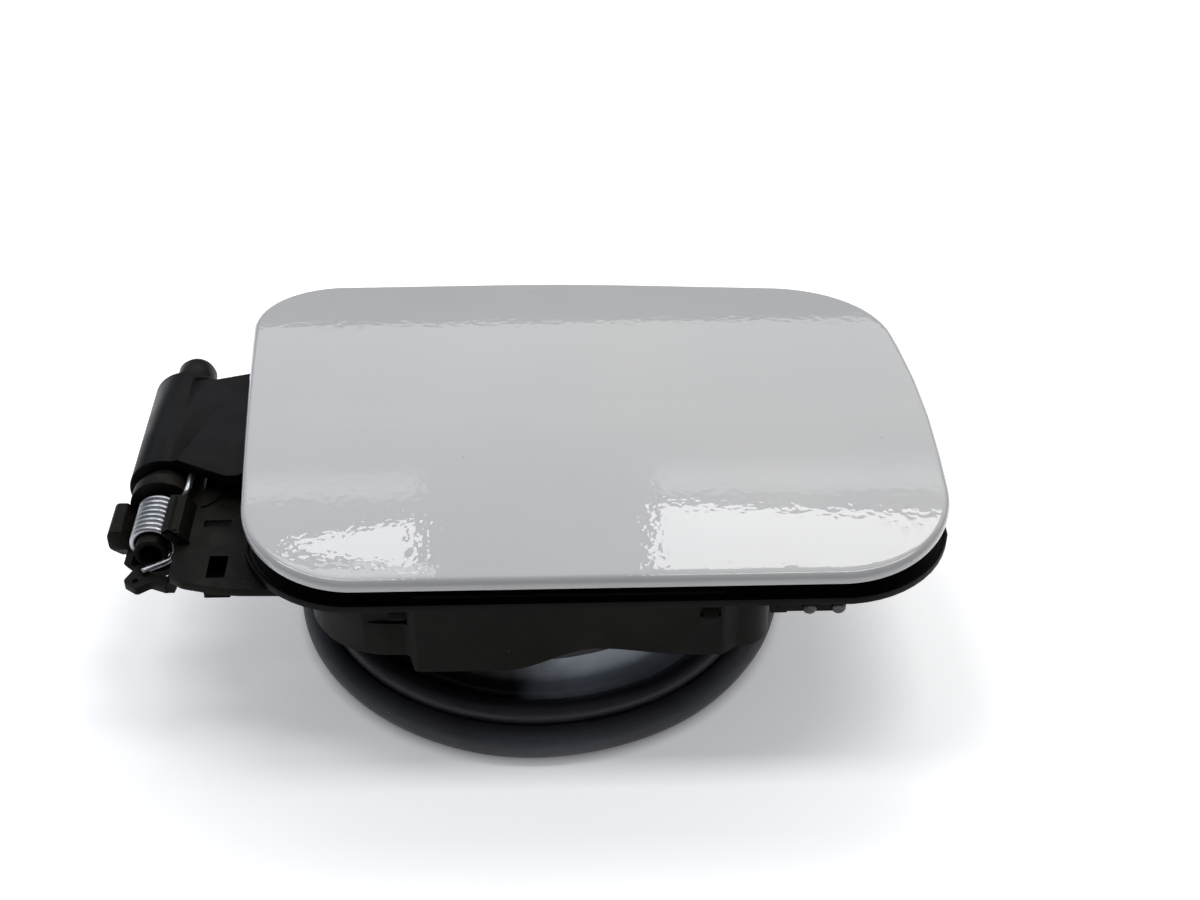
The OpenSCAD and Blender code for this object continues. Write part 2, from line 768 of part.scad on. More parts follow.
module inner_panel() {
    color([0.1, 0.1, 0.1])
    difference() {
        union() {
            difference() {
                panel_block();
                under_crown(panel_bottom);
            }
            intersection() {
                linear_extrude(door_top)
                    difference() {
                        intersection() {
                            rib_plan();
                            polygon(inwards(DOOR, hem_w + 5));
                        }
                        rib_free_plan();
                    }
                difference() {
                    under_crown(panel_bottom - 0.2);
                    under_crown(panel_bottom + rib_h);
                }
            }
            // Flat land for the hinge arm
            intersection() {
                block([arm_step_x + 4, arm_y0 - 2, land_z], [arm_end + 3, arm_y1 + 2, door_top]);
                panel_block();
            }
        }
        for (i = [0 : 2])
            translate([screw_place(i).x, screw_place(i).y, land_z - 1]) cylinder(d = screw_d + 2 * press_gap, h = 1 + screw_bite + 0.3);
        for (x = [hook_x - hook_base.x / 2 + 4, hook_x + hook_base.x / 2 - 4])
            panel_stud_hole(x, 0);
        for (y = [-6, 6])
            panel_stud_hole(striker_x, y);
        for (i = [0 : 1])
            panel_stud_hole(stop_x, stop_y(i));
    }
}

module panel_stud_hole(x, y) {
    translate([x, y, flange_top]) cylinder(d = stud_d + 2 * seat_gap, h = door_top - flange_top - 0.5);
}

// Stud through the carrier, from a foot to just under the skin
module panel_stud(x, y, z0) {
    translate([x, y, z0]) cylinder(d = stud_d, h = crown(abs(y) + stud_d / 2) - panel_top - 0.2 - z0);
}

// Pressed skin: rings of points from the hem, over the rolled edge, to the middle and back inside
middle = [(door_left + door_right) / 2, mid_y];
function edge_ring(inset, drop) = [for (p = inwards(SKIN, inset)) [p.x, p.y, crown(p.y) - drop]];
function field_ring(share, drop) =
    [for (p = inwards(SKIN, hem_w))
        let (q = middle + share * (p - middle))
        [q.x, q.y, crown(q.y) - drop]];
shares = [0.76, 0.52, 0.28];
side_step = 13;
// The door outline with its long sides cut into short ones, so that they follow the crown
function cut_sides(pts) =
    let (n = len(pts))
    [for (i = [0 : n - 1])
        let (a = pts[i], b = pts[(i + 1) % n], m = ceil(norm(b - a) / side_step))
        for (k = [0 : m - 1]) a + (b - a) * k / m];
SKIN = cut_sides(DOOR);
SKIN_RINGS = concat(
    [edge_ring(0, hem_h)],
    [for (a = [0 : 22.5 : 90]) edge_ring(roll_r * (1 - cos(a)), roll_r * (1 - sin(a)))],
    [edge_ring(hem_w, 0)],
    [for (s = shares) field_ring(s, 0)],
    [for (i = [len(shares) - 1 : -1 : 0]) field_ring(shares[i], skin_t)],
    [edge_ring(hem_w, skin_t), edge_ring(hem_w, hem_h)]
);

module outer_skin() {
    n = len(SKIN);
    m = len(SKIN_RINGS);
    ring_points = [for (r = SKIN_RINGS) each r];
    // The rings close on themselves: the last ring at the hem joins the first
    field_top = 6 + len(shares);
    top = len(ring_points);
    points = concat(ring_points,
        [[middle.x, middle.y, crown(middle.y)], [middle.x, middle.y, crown(middle.y) - skin_t]]);
    bands = [for (r = [0 : m - 1]) if (r != field_top) r];
    color([0.8, 0.81, 0.82])
    polyhedron(points = points, faces = concat(
        [for (r = bands) for (i = [0 : n - 1])
            let (a = r * n + i, b = r * n + (i + 1) % n, c = ((r + 1) % m) * n + (i + 1) % n, d = ((r + 1) % m) * n + i)
            each [[a, d, b], [b, d, c]]],
        [for (i = [0 : n - 1]) [field_top * n + i, top, field_top * n + (i + 1) % n]],
        [for (i = [0 : n - 1]) [(field_top + 1) * n + (i + 1) % n, top + 1, (field_top + 1) * n + i]]
    ), convexity = 4);
}

module cap_hook() {
    throat = hook_h - 5;
    color([0.12, 0.12, 0.12]) {
        block([hook_x - hook_base.x / 2, -hook_base.y / 2, foot_z0], [hook_x + hook_base.x / 2, hook_base.y / 2, foot_z1]);
        translate([0, hook_w / 2, 0])
            rotate([90, 0, 0])
                linear_extrude(hook_w)
                    difference() {
                        polygon(outline([
                            [hook_x - 9, foot_z0 + 0.5, 0.4],
                            [hook_x - 9, foot_z0 - hook_h, 4],
                            [hook_x + 9, foot_z0 - hook_h, 1.2],
                            [hook_x + 9, foot_z0 - hook_h + 5, 1],
                            [hook_x - 5, foot_z0 + 0.5, 0.4]
                        ]));
                        polygon(outline([
                            [hook_x - 6.4, foot_z0 + 0.2 - 1.2, 0.4],
                            [hook_x - 6.4, foot_z0 - hook_h + 2.4, 2],
                            [hook_x + 6.6, foot_z0 - hook_h + 2.4, 0.6],
                            [hook_x + 6.6, foot_z0 - hook_h + 2.4 + throat, 0.6],
                        ]));
                    }
        for (x = [hook_x - hook_base.x / 2 + 4, hook_x + hook_base.x / 2 - 4])
            panel_stud(x, 0, foot_z0 + 0.5);
    }
}

module lock_striker() {
    striker_t = 4;
    eye_d = 14;
    color([0.12, 0.12, 0.12]) {
        block([striker_x - striker_base.x / 2, -striker_base.y / 2, foot_z0],
            [striker_x + striker_base.x / 2, striker_base.y / 2, foot_z1]);
        difference() {
            union() {
                translate([striker_x - striker_t / 2, 0, lock_z]) rotate([0, 90, 0]) cylinder(d = eye_d, h = striker_t);
                block([striker_x - striker_t / 2, -eye_d / 2, lock_z], [striker_x + striker_t / 2, eye_d / 2, foot_z0 + 0.5]);
            }
            translate([striker_x - striker_t, 0, lock_z]) rotate([0, 90, 0]) cylinder(d = lock_d + 1, h = 2 * striker_t);
        }
        for (y = [-6, 6])
            panel_stud(striker_x, y, foot_z0 + 0.5);
    }
}

module rubber_stop(i) {
    y = stop_y(i);
    seat = crown(abs(y) + stop_d / 2) - panel_bottom - 0.1;
    color([0.05, 0.05, 0.05]) {
        translate([stop_x, y, flange_top + run_gap + 1]) cylinder(d = stop_d, h = seat - flange_top - run_gap - 1);
        translate([stop_x, y, flange_top + run_gap]) cylinder(d1 = stop_d - 2, d2 = stop_d, h = 1);
        panel_stud(stop_x, y, seat - 0.5);
    }
}

// Spring: a path from the short end on the arm, round the coil, to the long end on the lug
coil_r = (coil_d - wire_d) / 2;
coil_y0 = boss_y0 - wire_d / 2 - 0.2;
coil_start = 40;
coil_sweep = 360 * (turns - 1) + 28;
per_turn = 14;
steps = round(coil_sweep / 360 * per_turn);
short_r = shell_d / 2 + wire_d / 2 + 0.25;
function polar(a, r, y) = [-pin_x + r * cos(a), y, pin_z + r * sin(a)];
// The long end leaves the last turn on the right, passes under the spigot's mouth and lies on the lug
coil_end_y = coil_y0 - (turns - 1) * (wire_d + turn_gap);
long_z = lug_z1 + wire_d / 2 + 0.1;
LONG_END = [
    [-pin_x + coil_r, coil_end_y - 1, pin_z - 1.4],
    [-pin_x + coil_r - 0.3, spigot_y0 + 0.5, long_z + 0.2],
    [-pin_x + coil_r - 1.6, spigot_y0 - 1.3, long_z],
    [-pin_x - 2.4, lug_y + 1.6, long_z],
    [-pin_x - 4.4, lug_y + 0.4, long_z]
];
SPRING_PATH = concat(
    [polar(coil_start, short_r, barrel_y0 - 1.4), polar(coil_start, short_r, boss_y1 + 1),
     polar(coil_start, short_r, boss_y0 - 0.3), polar(coil_start - 3, short_r - 1.6, coil_y0 - 0.3)],
    [for (i = [1 : steps])
        polar(coil_start - 8 - coil_sweep * i / steps, coil_r, coil_y0 - (turns - 1) * (wire_d + turn_gap) * i / steps)],
    LONG_END
);

module hinge_spring() {
    color([0.66, 0.67, 0.68]) sweep(SPRING_PATH, wire_d, 8);
}

// A round wire along a path: each ring is turned as little as possible from the one before
module sweep(path, d, sides) {
    n = len(path);
    tangents = [for (i = [0 : n - 1]) unit(path[min(i + 1, n - 1)] - path[max(i - 1, 0)])];
    function across(v, t) = unit(v - (v * t) * t);
    normals = [for (i = 0, v = across([0.3, 0.2, 1], tangents[0]); i < n;
        i = i + 1, v = i < n ? across(v, tangents[i]) : v) v];
    points = [for (i = [0 : n - 1]) for (k = [0 : sides - 1])
        let (a = 360 * k / sides, b = cross(tangents[i], normals[i]))
        path[i] + d / 2 * (cos(a) * normals[i] + sin(a) * b)];
    polyhedron(points = points, faces = concat(
        [[for (k = [sides - 1 : -1 : 0]) k]],
        [for (i = [0 : n - 2]) for (k = [0 : sides - 1])
            let (a = i * sides + k, b = i * sides + (k + 1) % sides, c = b + sides, e = a + sides)
            each [[a, b, c], [a, c, e]]],
        [[for (k = [0 : sides - 1]) (n - 1) * sides + k]]
    ), convexity = 10);
}

housing();
pot_floor();
hinge_frame();
lock_pocket();
lock_rail();
flange_seal();
boot();
boot_clamp();
lock_bush();
bracket_screw(0);  // bracket_screw_1
bracket_screw(1);  // bracket_screw_2
hinge_pin();
hinge_spring();
bush_near();
bush_far();
hinge_arm();
arm_screw(0);  // arm_screw_1
arm_screw(1);  // arm_screw_2
arm_screw(2);  // arm_screw_3
inner_panel();
outer_skin();
cap_hook();
lock_striker();
rubber_stop(0);  // rubber_stop_1
rubber_stop(1);  // rubber_stop_2
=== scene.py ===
"""Looks of the car fuel door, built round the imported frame. Lengths in the tables are millimetres."""
import bisect
import math
import bmesh
import bpy
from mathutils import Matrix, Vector, noise


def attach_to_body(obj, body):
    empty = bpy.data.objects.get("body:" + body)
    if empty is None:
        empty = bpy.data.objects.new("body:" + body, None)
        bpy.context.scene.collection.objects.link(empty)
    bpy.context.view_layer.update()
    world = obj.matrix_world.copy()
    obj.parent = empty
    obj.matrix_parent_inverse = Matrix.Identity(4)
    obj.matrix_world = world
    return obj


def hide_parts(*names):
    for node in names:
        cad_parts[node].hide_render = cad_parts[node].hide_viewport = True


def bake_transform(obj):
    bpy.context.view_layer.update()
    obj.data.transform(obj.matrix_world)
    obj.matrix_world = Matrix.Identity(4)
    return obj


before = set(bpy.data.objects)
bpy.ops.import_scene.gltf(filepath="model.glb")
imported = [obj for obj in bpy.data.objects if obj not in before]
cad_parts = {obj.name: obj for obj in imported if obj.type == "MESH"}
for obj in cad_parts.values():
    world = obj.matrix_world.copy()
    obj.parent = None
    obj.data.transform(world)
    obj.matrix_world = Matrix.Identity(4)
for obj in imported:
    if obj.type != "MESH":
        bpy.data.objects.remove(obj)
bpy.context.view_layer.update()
MM = 0.001
scene = bpy.context.scene


# Camera at the photograph's place: metres, then degrees from straight down and round the vertical
CAMERA_PLACE = (0.0077, -0.3941, 0.3604)
CAMERA_TILT = 52
CAMERA_TURN = -1.5
CAMERA_LENS = 52.5
SENSOR_WIDTH = 36


def add_camera():
    data = bpy.data.cameras.new("camera")
    data.lens = CAMERA_LENS
    data.sensor_width = SENSOR_WIDTH
    data.sensor_fit = "HORIZONTAL"
    data.clip_start = 0.01
    obj = bpy.data.objects.new("camera", data)
    obj.location = CAMERA_PLACE
    obj.rotation_euler = (math.radians(CAMERA_TILT), 0, math.radians(CAMERA_TURN))
    scene.collection.objects.link(obj)
    scene.camera = obj


add_camera()
scene.view_settings.view_transform = "Standard"


# Node helpers
def new_material(name):
    material = bpy.data.materials.new(name)
    material.use_nodes = True
    tree = material.node_tree
    shader = tree.nodes["Principled BSDF"]
    return material, tree, shader


def add_node(tree, kind, **values):
    node = tree.nodes.new(kind)
    for key, value in values.items():
        if key in node.inputs:
            node.inputs[key].default_value = value
        else:
            setattr(node, key, value)
    return node


def math_node(tree, operation, a, b=None):
    node = tree.nodes.new("ShaderNodeMath")
    node.operation = operation
    for socket, value in zip(node.inputs, (a, b)):
        if value is None:
            continue
        if isinstance(value, (int, float)):
            socket.default_value = value
        else:
            tree.links.new(value, socket)
    return node.outputs[0]


def ramp(tree, source, stops):
    """A colour ramp over a value: stops are (position, colour or grey)."""
    node = tree.nodes.new("ShaderNodeValToRGB")
    points = node.color_ramp.elements
    while len(points) < len(stops):
        points.new(0.5)
    for point, (place, colour) in zip(points, stops):
        point.position = place
        point.color = (colour,) * 3 + (1,) if isinstance(colour, (int, float)) else tuple(colour) + (1,)
    tree.links.new(source, node.inputs["Fac"])
    return node.outputs["Color"]


def blend_colours(tree, factor, a, b):
    node = tree.nodes.new("ShaderNodeMix")
    node.data_type = "RGBA"
    tree.links.new(factor, node.inputs["Factor"])
    for name, value in (("A", a), ("B", b)):
        socket = [s for s in node.inputs if s.name == name and s.type == "RGBA"][0]
        if isinstance(value, tuple):
            socket.default_value = value + (1,)
        else:
            tree.links.new(value, socket)
    return [s for s in node.outputs if s.type == "RGBA"][0]


def place(tree):
    return tree.nodes.new("ShaderNodeTexCoord").outputs["Object"]


def noise_value(tree, coords, scale, detail=3.0, roughness=0.5):
    node = add_node(tree, "ShaderNodeTexNoise", Scale=scale, Detail=detail, Roughness=roughness)
    tree.links.new(coords, node.inputs["Vector"])
    return node.outputs["Fac"]


def wobble(tree, coords, scale, detail, size):
    """Noise about zero, from minus half the size to plus half."""
    centred = math_node(tree, "SUBTRACT", noise_value(tree, coords, scale, detail), 0.5)
    return math_node(tree, "MULTIPLY", centred, size)


def bump(tree, height, strength, distance, normal=None):
    node = add_node(tree, "ShaderNodeBump", Strength=strength, Distance=distance)
    tree.links.new(height, node.inputs["Height"])
    if normal is not None:
        tree.links.new(normal, node.inputs["Normal"])
    return node.outputs["Normal"]


def specks(tree, coords, scale, size, share):
    """Small round specks: about one place in a few has one."""
    cells = add_node(tree, "ShaderNodeTexVoronoi", Scale=scale)
    tree.links.new(coords, cells.inputs["Vector"])
    near = math_node(tree, "LESS_THAN", cells.outputs["Distance"], size)
    split = tree.nodes.new("ShaderNodeSeparateColor")
    tree.links.new(cells.outputs["Color"], split.inputs["Color"])
    chosen = math_node(tree, "LESS_THAN", split.outputs["Red"], share)
    return math_node(tree, "MULTIPLY", near, chosen)


def facing_up(tree):
    geometry = tree.nodes.new("ShaderNodeNewGeometry")
    split = tree.nodes.new("ShaderNodeSeparateXYZ")
    tree.links.new(geometry.outputs["Normal"], split.inputs["Vector"])
    return ramp(tree, split.outputs["Z"], [(0.2, 0.0), (0.95, 1.0)])


# Materials
def line_mask(tree, coords, start, end, width):
    """A hairline from start to end across the door, in millimetres."""
    along = Vector((end[0] - start[0], end[1] - start[1]))
    length = along.length
    along.normalize()
    split = tree.nodes.new("ShaderNodeSeparateXYZ")
    tree.links.new(coords, split.inputs["Vector"])
    x = math_node(tree, "SUBTRACT", split.outputs["X"], start[0] * MM)
    y = math_node(tree, "SUBTRACT", split.outputs["Y"], start[1] * MM)
    u = math_node(tree, "ADD", math_node(tree, "MULTIPLY", x, along.x),
                  math_node(tree, "MULTIPLY", y, along.y))
    v = math_node(tree, "ADD", math_node(tree, "MULTIPLY", x, -along.y),
                  math_node(tree, "MULTIPLY", y, along.x))
    off = math_node(tree, "ABSOLUTE", math_node(tree, "ADD", v, wobble(tree, coords, 90, 1, 0.004)))
    thin = math_node(tree, "LESS_THAN", off, width * MM)
    inside = math_node(tree, "MULTIPLY", math_node(tree, "GREATER_THAN", u, 0.0),
                       math_node(tree, "LESS_THAN", u, length * MM))
    return math_node(tree, "MULTIPLY", thin, inside)


# Hairline scratches on the door, each from one place to another, in millimetres
SCRATCHES = [((-58, -31), (-51, -41)), ((36, -34), (46, -27)), ((8, -26), (12, -29)), ((88, -29), (98, -24))]
SCRATCH_WIDTH = 0.11
# Middle of the brownish smudge near the free front corner, in metres
SMUDGE_PLACE = (0.097, -0.046, 0.064)


def paint_material():
    material, tree, shader = new_material("white_paint")
    coords = place(tree)
    cloud = noise_value(tree, coords, 14, 2)
    base = ramp(tree, cloud, [(0.3, (0.435, 0.438, 0.445)), (0.7, (0.46, 0.46, 0.457))])
    scratches = None
    for start, end in SCRATCHES:
        mask = line_mask(tree, coords, start, end, SCRATCH_WIDTH)
        scratches = mask if scratches is None else math_node(tree, "MAXIMUM", scratches, mask)
    base = blend_colours(tree, math_node(tree, "MULTIPLY", scratches, 0.35), base, (0.30, 0.30, 0.31))
    dots = specks(tree, coords, 95, 0.035, 0.22)
    base = blend_colours(tree, math_node(tree, "MULTIPLY", dots, 0.45), base, (0.22, 0.21, 0.2))
    spot = tree.nodes.new("ShaderNodeVectorMath")
    spot.operation = "DISTANCE"
    tree.links.new(coords, spot.inputs[0])
    spot.inputs[1].default_value = SMUDGE_PLACE
    close = ramp(tree, math_node(tree, "MULTIPLY", spot.outputs["Value"], 100), [(0.1, 1.0), (0.9, 0.0)])
    patchy = ramp(tree, noise_value(tree, coords, 420, 3), [(0.5, 0.0), (0.66, 1.0)])
    smudge = math_node(tree, "MULTIPLY", close, patchy)
    base = blend_colours(tree, math_node(tree, "MULTIPLY", smudge, 0.5), base, (0.36, 0.28, 0.18))
    tree.links.new(base, shader.inputs["Base Color"])
    film = ramp(tree, noise_value(tree, coords, 60, 4), [(0.35, 0.32), (0.75, 0.42)])
    tree.links.new(film, shader.inputs["Roughness"])
    peel = noise_value(tree, coords, 420, 1)
    peel_normal = bump(tree, peel, 0.3, 0.0001)
    tree.links.new(peel_normal, shader.inputs["Coat Normal"])
    shader.inputs["Specular IOR Level"].default_value = 0.3
    shader.inputs["Coat Weight"].default_value = 1.0
    shader.inputs["Coat Roughness"].default_value = 0.015
    shader.inputs["Coat IOR"].default_value = 1.5
    return material


def plastic_material(name, dark, light, rough, grain=0.12, dust=0.25):
    material, tree, shader = new_material(name)
    coords = place(tree)
    cloud = noise_value(tree, coords, 38, 4)
    base = ramp(tree, cloud, [(0.3, dark), (0.72, light)])
    patchy = ramp(tree, noise_value(tree, coords, 130, 5, 0.65), [(0.45, 0.0), (0.8, 1.0)])
    film = math_node(tree, "MULTIPLY", facing_up(tree), patchy)
    base = blend_colours(tree, math_node(tree, "MULTIPLY", film, dust), base, (0.05, 0.048, 0.045))
    dots = specks(tree, coords, 260, 0.07, 0.05)
    base = blend_colours(tree, math_node(tree, "MULTIPLY", dots, 0.5), base, (0.10, 0.10, 0.105))
    tree.links.new(base, shader.inputs["Base Color"])
    streak = ramp(tree, noise_value(tree, coords, 85, 4), [(0.3, rough - 0.07), (0.75, rough + 0.1)])
    tree.links.new(streak, shader.inputs["Roughness"])
    fine = bump(tree, noise_value(tree, coords, 2400, 2), grain, 0.0003)
    wavy = bump(tree, noise_value(tree, coords, 110, 2), 0.12, 0.0006, fine)
    tree.links.new(wavy, shader.inputs["Normal"])
    shader.inputs["Specular IOR Level"].default_value = 0.055
    return material


def rubber_material(name, dark, light, rough, speck_share=0.14, sheen_from_x=None, shine=0.3):
    """Rubber with light dust. Where an X is given, in metres, the base colours are a painted sheen on the
    high side of that X, and the rubber is blackish on the low side.
    """
    material, tree, shader = new_material(name)
    coords = place(tree)
    cloud = noise_value(tree, coords, 30, 5, 0.6)
    base = ramp(tree, cloud, [(0.3, dark), (0.75, light)])
    # Painted sheen: the high side of the X keeps the base colours, the low side turns to the rubber's own
    # blackish colour.
    if sheen_from_x is not None:
        split = tree.nodes.new("ShaderNodeSeparateXYZ")
        tree.links.new(coords, split.inputs["Vector"])
        fade = 0.02
        wavy = wobble(tree, coords, 60, 2, fade)
        x = math_node(tree, "ADD", math_node(tree, "SUBTRACT", split.outputs["X"], sheen_from_x - fade / 2), wavy)
        film = ramp(tree, math_node(tree, "MULTIPLY", x, 1 / fade), [(0.0, 1.0), (1.0, 0.0)])
        base = blend_colours(tree, film, base, (0.012, 0.012, 0.015))
    dots = specks(tree, coords, 190, 0.055, speck_share)
    dots_fine = specks(tree, coords, 520, 0.09, speck_share)
    dust = math_node(tree, "MAXIMUM", dots, dots_fine)
    base = blend_colours(tree, math_node(tree, "MULTIPLY", dust, 0.55), base, (0.16, 0.165, 0.175))
    tree.links.new(base, shader.inputs["Base Color"])
    sheen = ramp(tree, noise_value(tree, coords, 75, 4), [(0.3, rough - 0.08), (0.75, rough + 0.1)])
    tree.links.new(sheen, shader.inputs["Roughness"])
    fine = bump(tree, noise_value(tree, coords, 1500, 2), 0.16, 0.0003)
    tree.links.new(fine, shader.inputs["Normal"])
    shader.inputs["Specular IOR Level"].default_value = shine
    return material


def metal_material(name, dark, light, rough):
    material, tree, shader = new_material(name)
    coords = place(tree)
    cloud = noise_value(tree, coords, 240, 4, 0.6)
    base = ramp(tree, cloud, [(0.3, dark), (0.7, light)])
    tree.links.new(base, shader.inputs["Base Color"])
    worn = ramp(tree, noise_value(tree, coords, 420, 3), [(0.3, rough - 0.08), (0.75, rough + 0.12)])
    tree.links.new(worn, shader.inputs["Roughness"])
    fine = bump(tree, noise_value(tree, coords, 1900, 2), 0.1, 0.0002)
    tree.links.new(fine, shader.inputs["Normal"])
    shader.inputs["Metallic"].default_value = 1.0
    return material


PAINT = paint_material()
HOUSING = plastic_material("housing_plastic", (0.0030, 0.0028, 0.0022), (0.0072, 0.0064, 0.0046), 0.42)
CARRIER = plastic_material("carrier_plastic", (0.005, 0.005, 0.0055), (0.009, 0.009, 0.0095), 0.44)
ARM = plastic_material("arm_plastic", (0.0024, 0.0024, 0.0028), (0.0050, 0.0050, 0.0054), 0.33, 0.07, 0.1)
BUSH = plastic_material("bush_plastic", (0.006, 0.006, 0.0065), (0.012, 0.012, 0.0125), 0.34, 0.05, 0.1)
SEAL = rubber_material("seal_rubber", (0.0012, 0.0012, 0.0015), (0.0025, 0.0025, 0.003), 0.5,
                       0.02, shine=0.08)
# A lighter copy of the boot's rubber for its outer bead and foot, as painted light.
BOOT_PAINTED_LIT = rubber_material("boot_rubber", (0.040, 0.041, 0.050), (0.068, 0.070, 0.083), 0.46)
# A darker copy of the same rubber for the thin bead, as painted shade.
THIN_BEAD_PAINTED_SHADE = rubber_material("boot_thin_bead_painted_shade", (0.017, 0.017, 0.021), (0.028, 0.028, 0.034), 0.4)
# Light bluish rubber for the membrane under the pot's arch, as a painted sheen, blackish on the low side of X
# 2 mm.
MEMBRANE_PAINTED_SHEEN = rubber_material("boot_membrane_painted_sheen", (0.24, 0.27, 0.32), (0.50, 0.55, 0.62), 0.3, 0.05, 0.002)
WIRE = metal_material("spring_wire", (0.30, 0.31, 0.33), (0.46, 0.47, 0.49), 0.34)
BAND = metal_material("band_steel", (0.40, 0.40, 0.41), (0.58, 0.58, 0.59), 0.34)
SCREW = metal_material("screw_steel", (0.34, 0.34, 0.35), (0.52, 0.52, 0.53), 0.36)
DULL_STEEL = metal_material("dull_steel", (0.05, 0.05, 0.052), (0.11, 0.11, 0.112), 0.42)
BLACK_STEEL = plastic_material("black_steel", (0.004, 0.004, 0.0045), (0.008, 0.008, 0.0085), 0.38, 0.09, 0.2)


# Mesh helpers
def add_mesh(name, points, faces, material, sharp=40):
    mesh = bpy.data.meshes.new(name)
    mesh.from_pydata([tuple(c * MM for c in p) for p in points], [], faces)
    mesh.validate()
    mesh.update()
    return add_object(name, mesh, material, sharp)


def add_object(name, mesh, material, sharp=40):
    obj = bpy.data.objects.new(name, mesh)
    scene.collection.objects.link(obj)
    mesh.materials.clear()
    mesh.materials.append(material)
    mesh.polygons.foreach_set("use_smooth", [True] * len(mesh.polygons))
    mesh.set_sharp_from_angle(angle=math.radians(sharp))
    return obj


def attach(obj, body, node=None):
    """Lets a piece move with a body, and stand for a CAD node where one is given."""
    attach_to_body(obj, body)
    if node:
        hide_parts(node)


# Corners closer than this, in metres, are made one
WELD = 2e-6
# Faces flatter than the first angle are joined, and edges sharper than the second are rounded
FLAT_ANGLE = 0.8
ROUNDED_ANGLE = 34


def refine(node, width, material, slot, body, seen=None, sharp=32):
    """A copy of a rigid CAD piece with its edges rounded, set where the photograph shows it."""
    work = bmesh.new()
    work.from_mesh(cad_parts[node].data)
    bmesh.ops.remove_doubles(work, verts=work.verts, dist=WELD)
    if seen:
        for vertex in work.verts:
            vertex.co = Vector(seen(*(vertex.co / MM))) * MM
    bmesh.ops.dissolve_limit(work, angle_limit=math.radians(FLAT_ANGLE), verts=work.verts, edges=work.edges,
                             use_dissolve_boundaries=False)
    edges = [e for e in work.edges
             if len(e.link_faces) == 2 and e.calc_face_angle() > math.radians(ROUNDED_ANGLE)]
    bmesh.ops.bevel(work, geom=edges, offset=width * MM, offset_type="OFFSET", segments=2, profile=0.6,
                    affect="EDGES", clamp_overlap=True, miter_outer="ARC")
    bmesh.ops.triangulate(work, faces=[f for f in work.faces if len(f.verts) > 4])
    mesh = bpy.data.meshes.new(node + "_look")
    work.to_mesh(mesh)
    work.free()
    attach(add_object(node + "_look", mesh, material, sharp), body, node)


# Door outline as the photograph shows it, and as the source has it. A row is x, y, radius
CORNERS = [(-75.5, -65.35, 32), (110, -65.35, 32), (111.05, 5.55, 400),
           (103.5, 69.45, 37), (7.75, 77.25, 400), (-88, 76.45, 25)]
SOLID_CORNERS = [(-76, -68, 27), (111.5, -68, 27), (110.5, 5, 260),
                 (106.5, 72, 42), (10.5, 76.5, 260), (-85.5, 78, 20)]
MIDDLE = Vector((11.0, 5.55))
# Outlines are cut at this many degrees on their arcs, and nowhere farther apart than this
ARC_STEP = 3
LONGEST_SIDE = 4
CROWN_R = 498.25
DOOR_TOP = 66.0
PIN_X, PIN_Z = -104.0, 48.0


def crown(y):
    return DOOR_TOP - CROWN_R + math.sqrt(CROWN_R * CROWN_R - y * y)


def fillet(a, b, c, r):
    """Arc of a radius at the corner b, between the sides to a and c."""
    a, b, c = Vector(a[:2]), Vector(b[:2]), Vector(c[:2])
    u, w = (a - b).normalized(), (c - b).normalized()
    half = u.angle(w) / 2
    middle = b + (u + w).normalized() * (r / math.sin(half))
    first = b + u * (r / math.tan(half)) - middle
    last = b + w * (r / math.tan(half)) - middle
    start = math.atan2(first.y, first.x)
    sweep = math.atan2(last.y, last.x) - start
    sweep = (sweep + math.pi) % (2 * math.pi) - math.pi
    count = max(2, math.ceil(abs(math.degrees(sweep)) / ARC_STEP))
    return [middle + r * Vector((math.cos(start + sweep * i / count), math.sin(start + sweep * i / count)))
            for i in range(count + 1)]


def outline(corners):
    points = []
    n = len(corners)
    for i in range(n):
        points += fillet(corners[i - 1], corners[i], corners[(i + 1) % n], corners[i][2])
    result = []
    for i, p in enumerate(points):
        q = points[(i + 1) % len(points)]
        cuts = max(1, math.ceil((q - p).length / LONGEST_SIDE))
        result += [p.lerp(q, k / cuts) for k in range(cuts)]
    return result


def inwards(points, distance):
    n = len(points)
    moved = []
    for i in range(n):
        along = (points[(i + 1) % n] - points[i - 1]).normalized()
        moved.append(points[i] + distance * Vector((-along.y, along.x)))
    return moved


def rings_mesh(rings):
    """Faces between rings of points that all have the same count."""
    n = len(rings[0])
    points = [p for ring in rings for p in ring]
    faces = []
    for r in range(len(rings) - 1):
        for i in range(n):
            j = (i + 1) % n
            faces.append((r * n + i, r * n + j, r * n + n + j, r * n + n + i))
    return points, faces


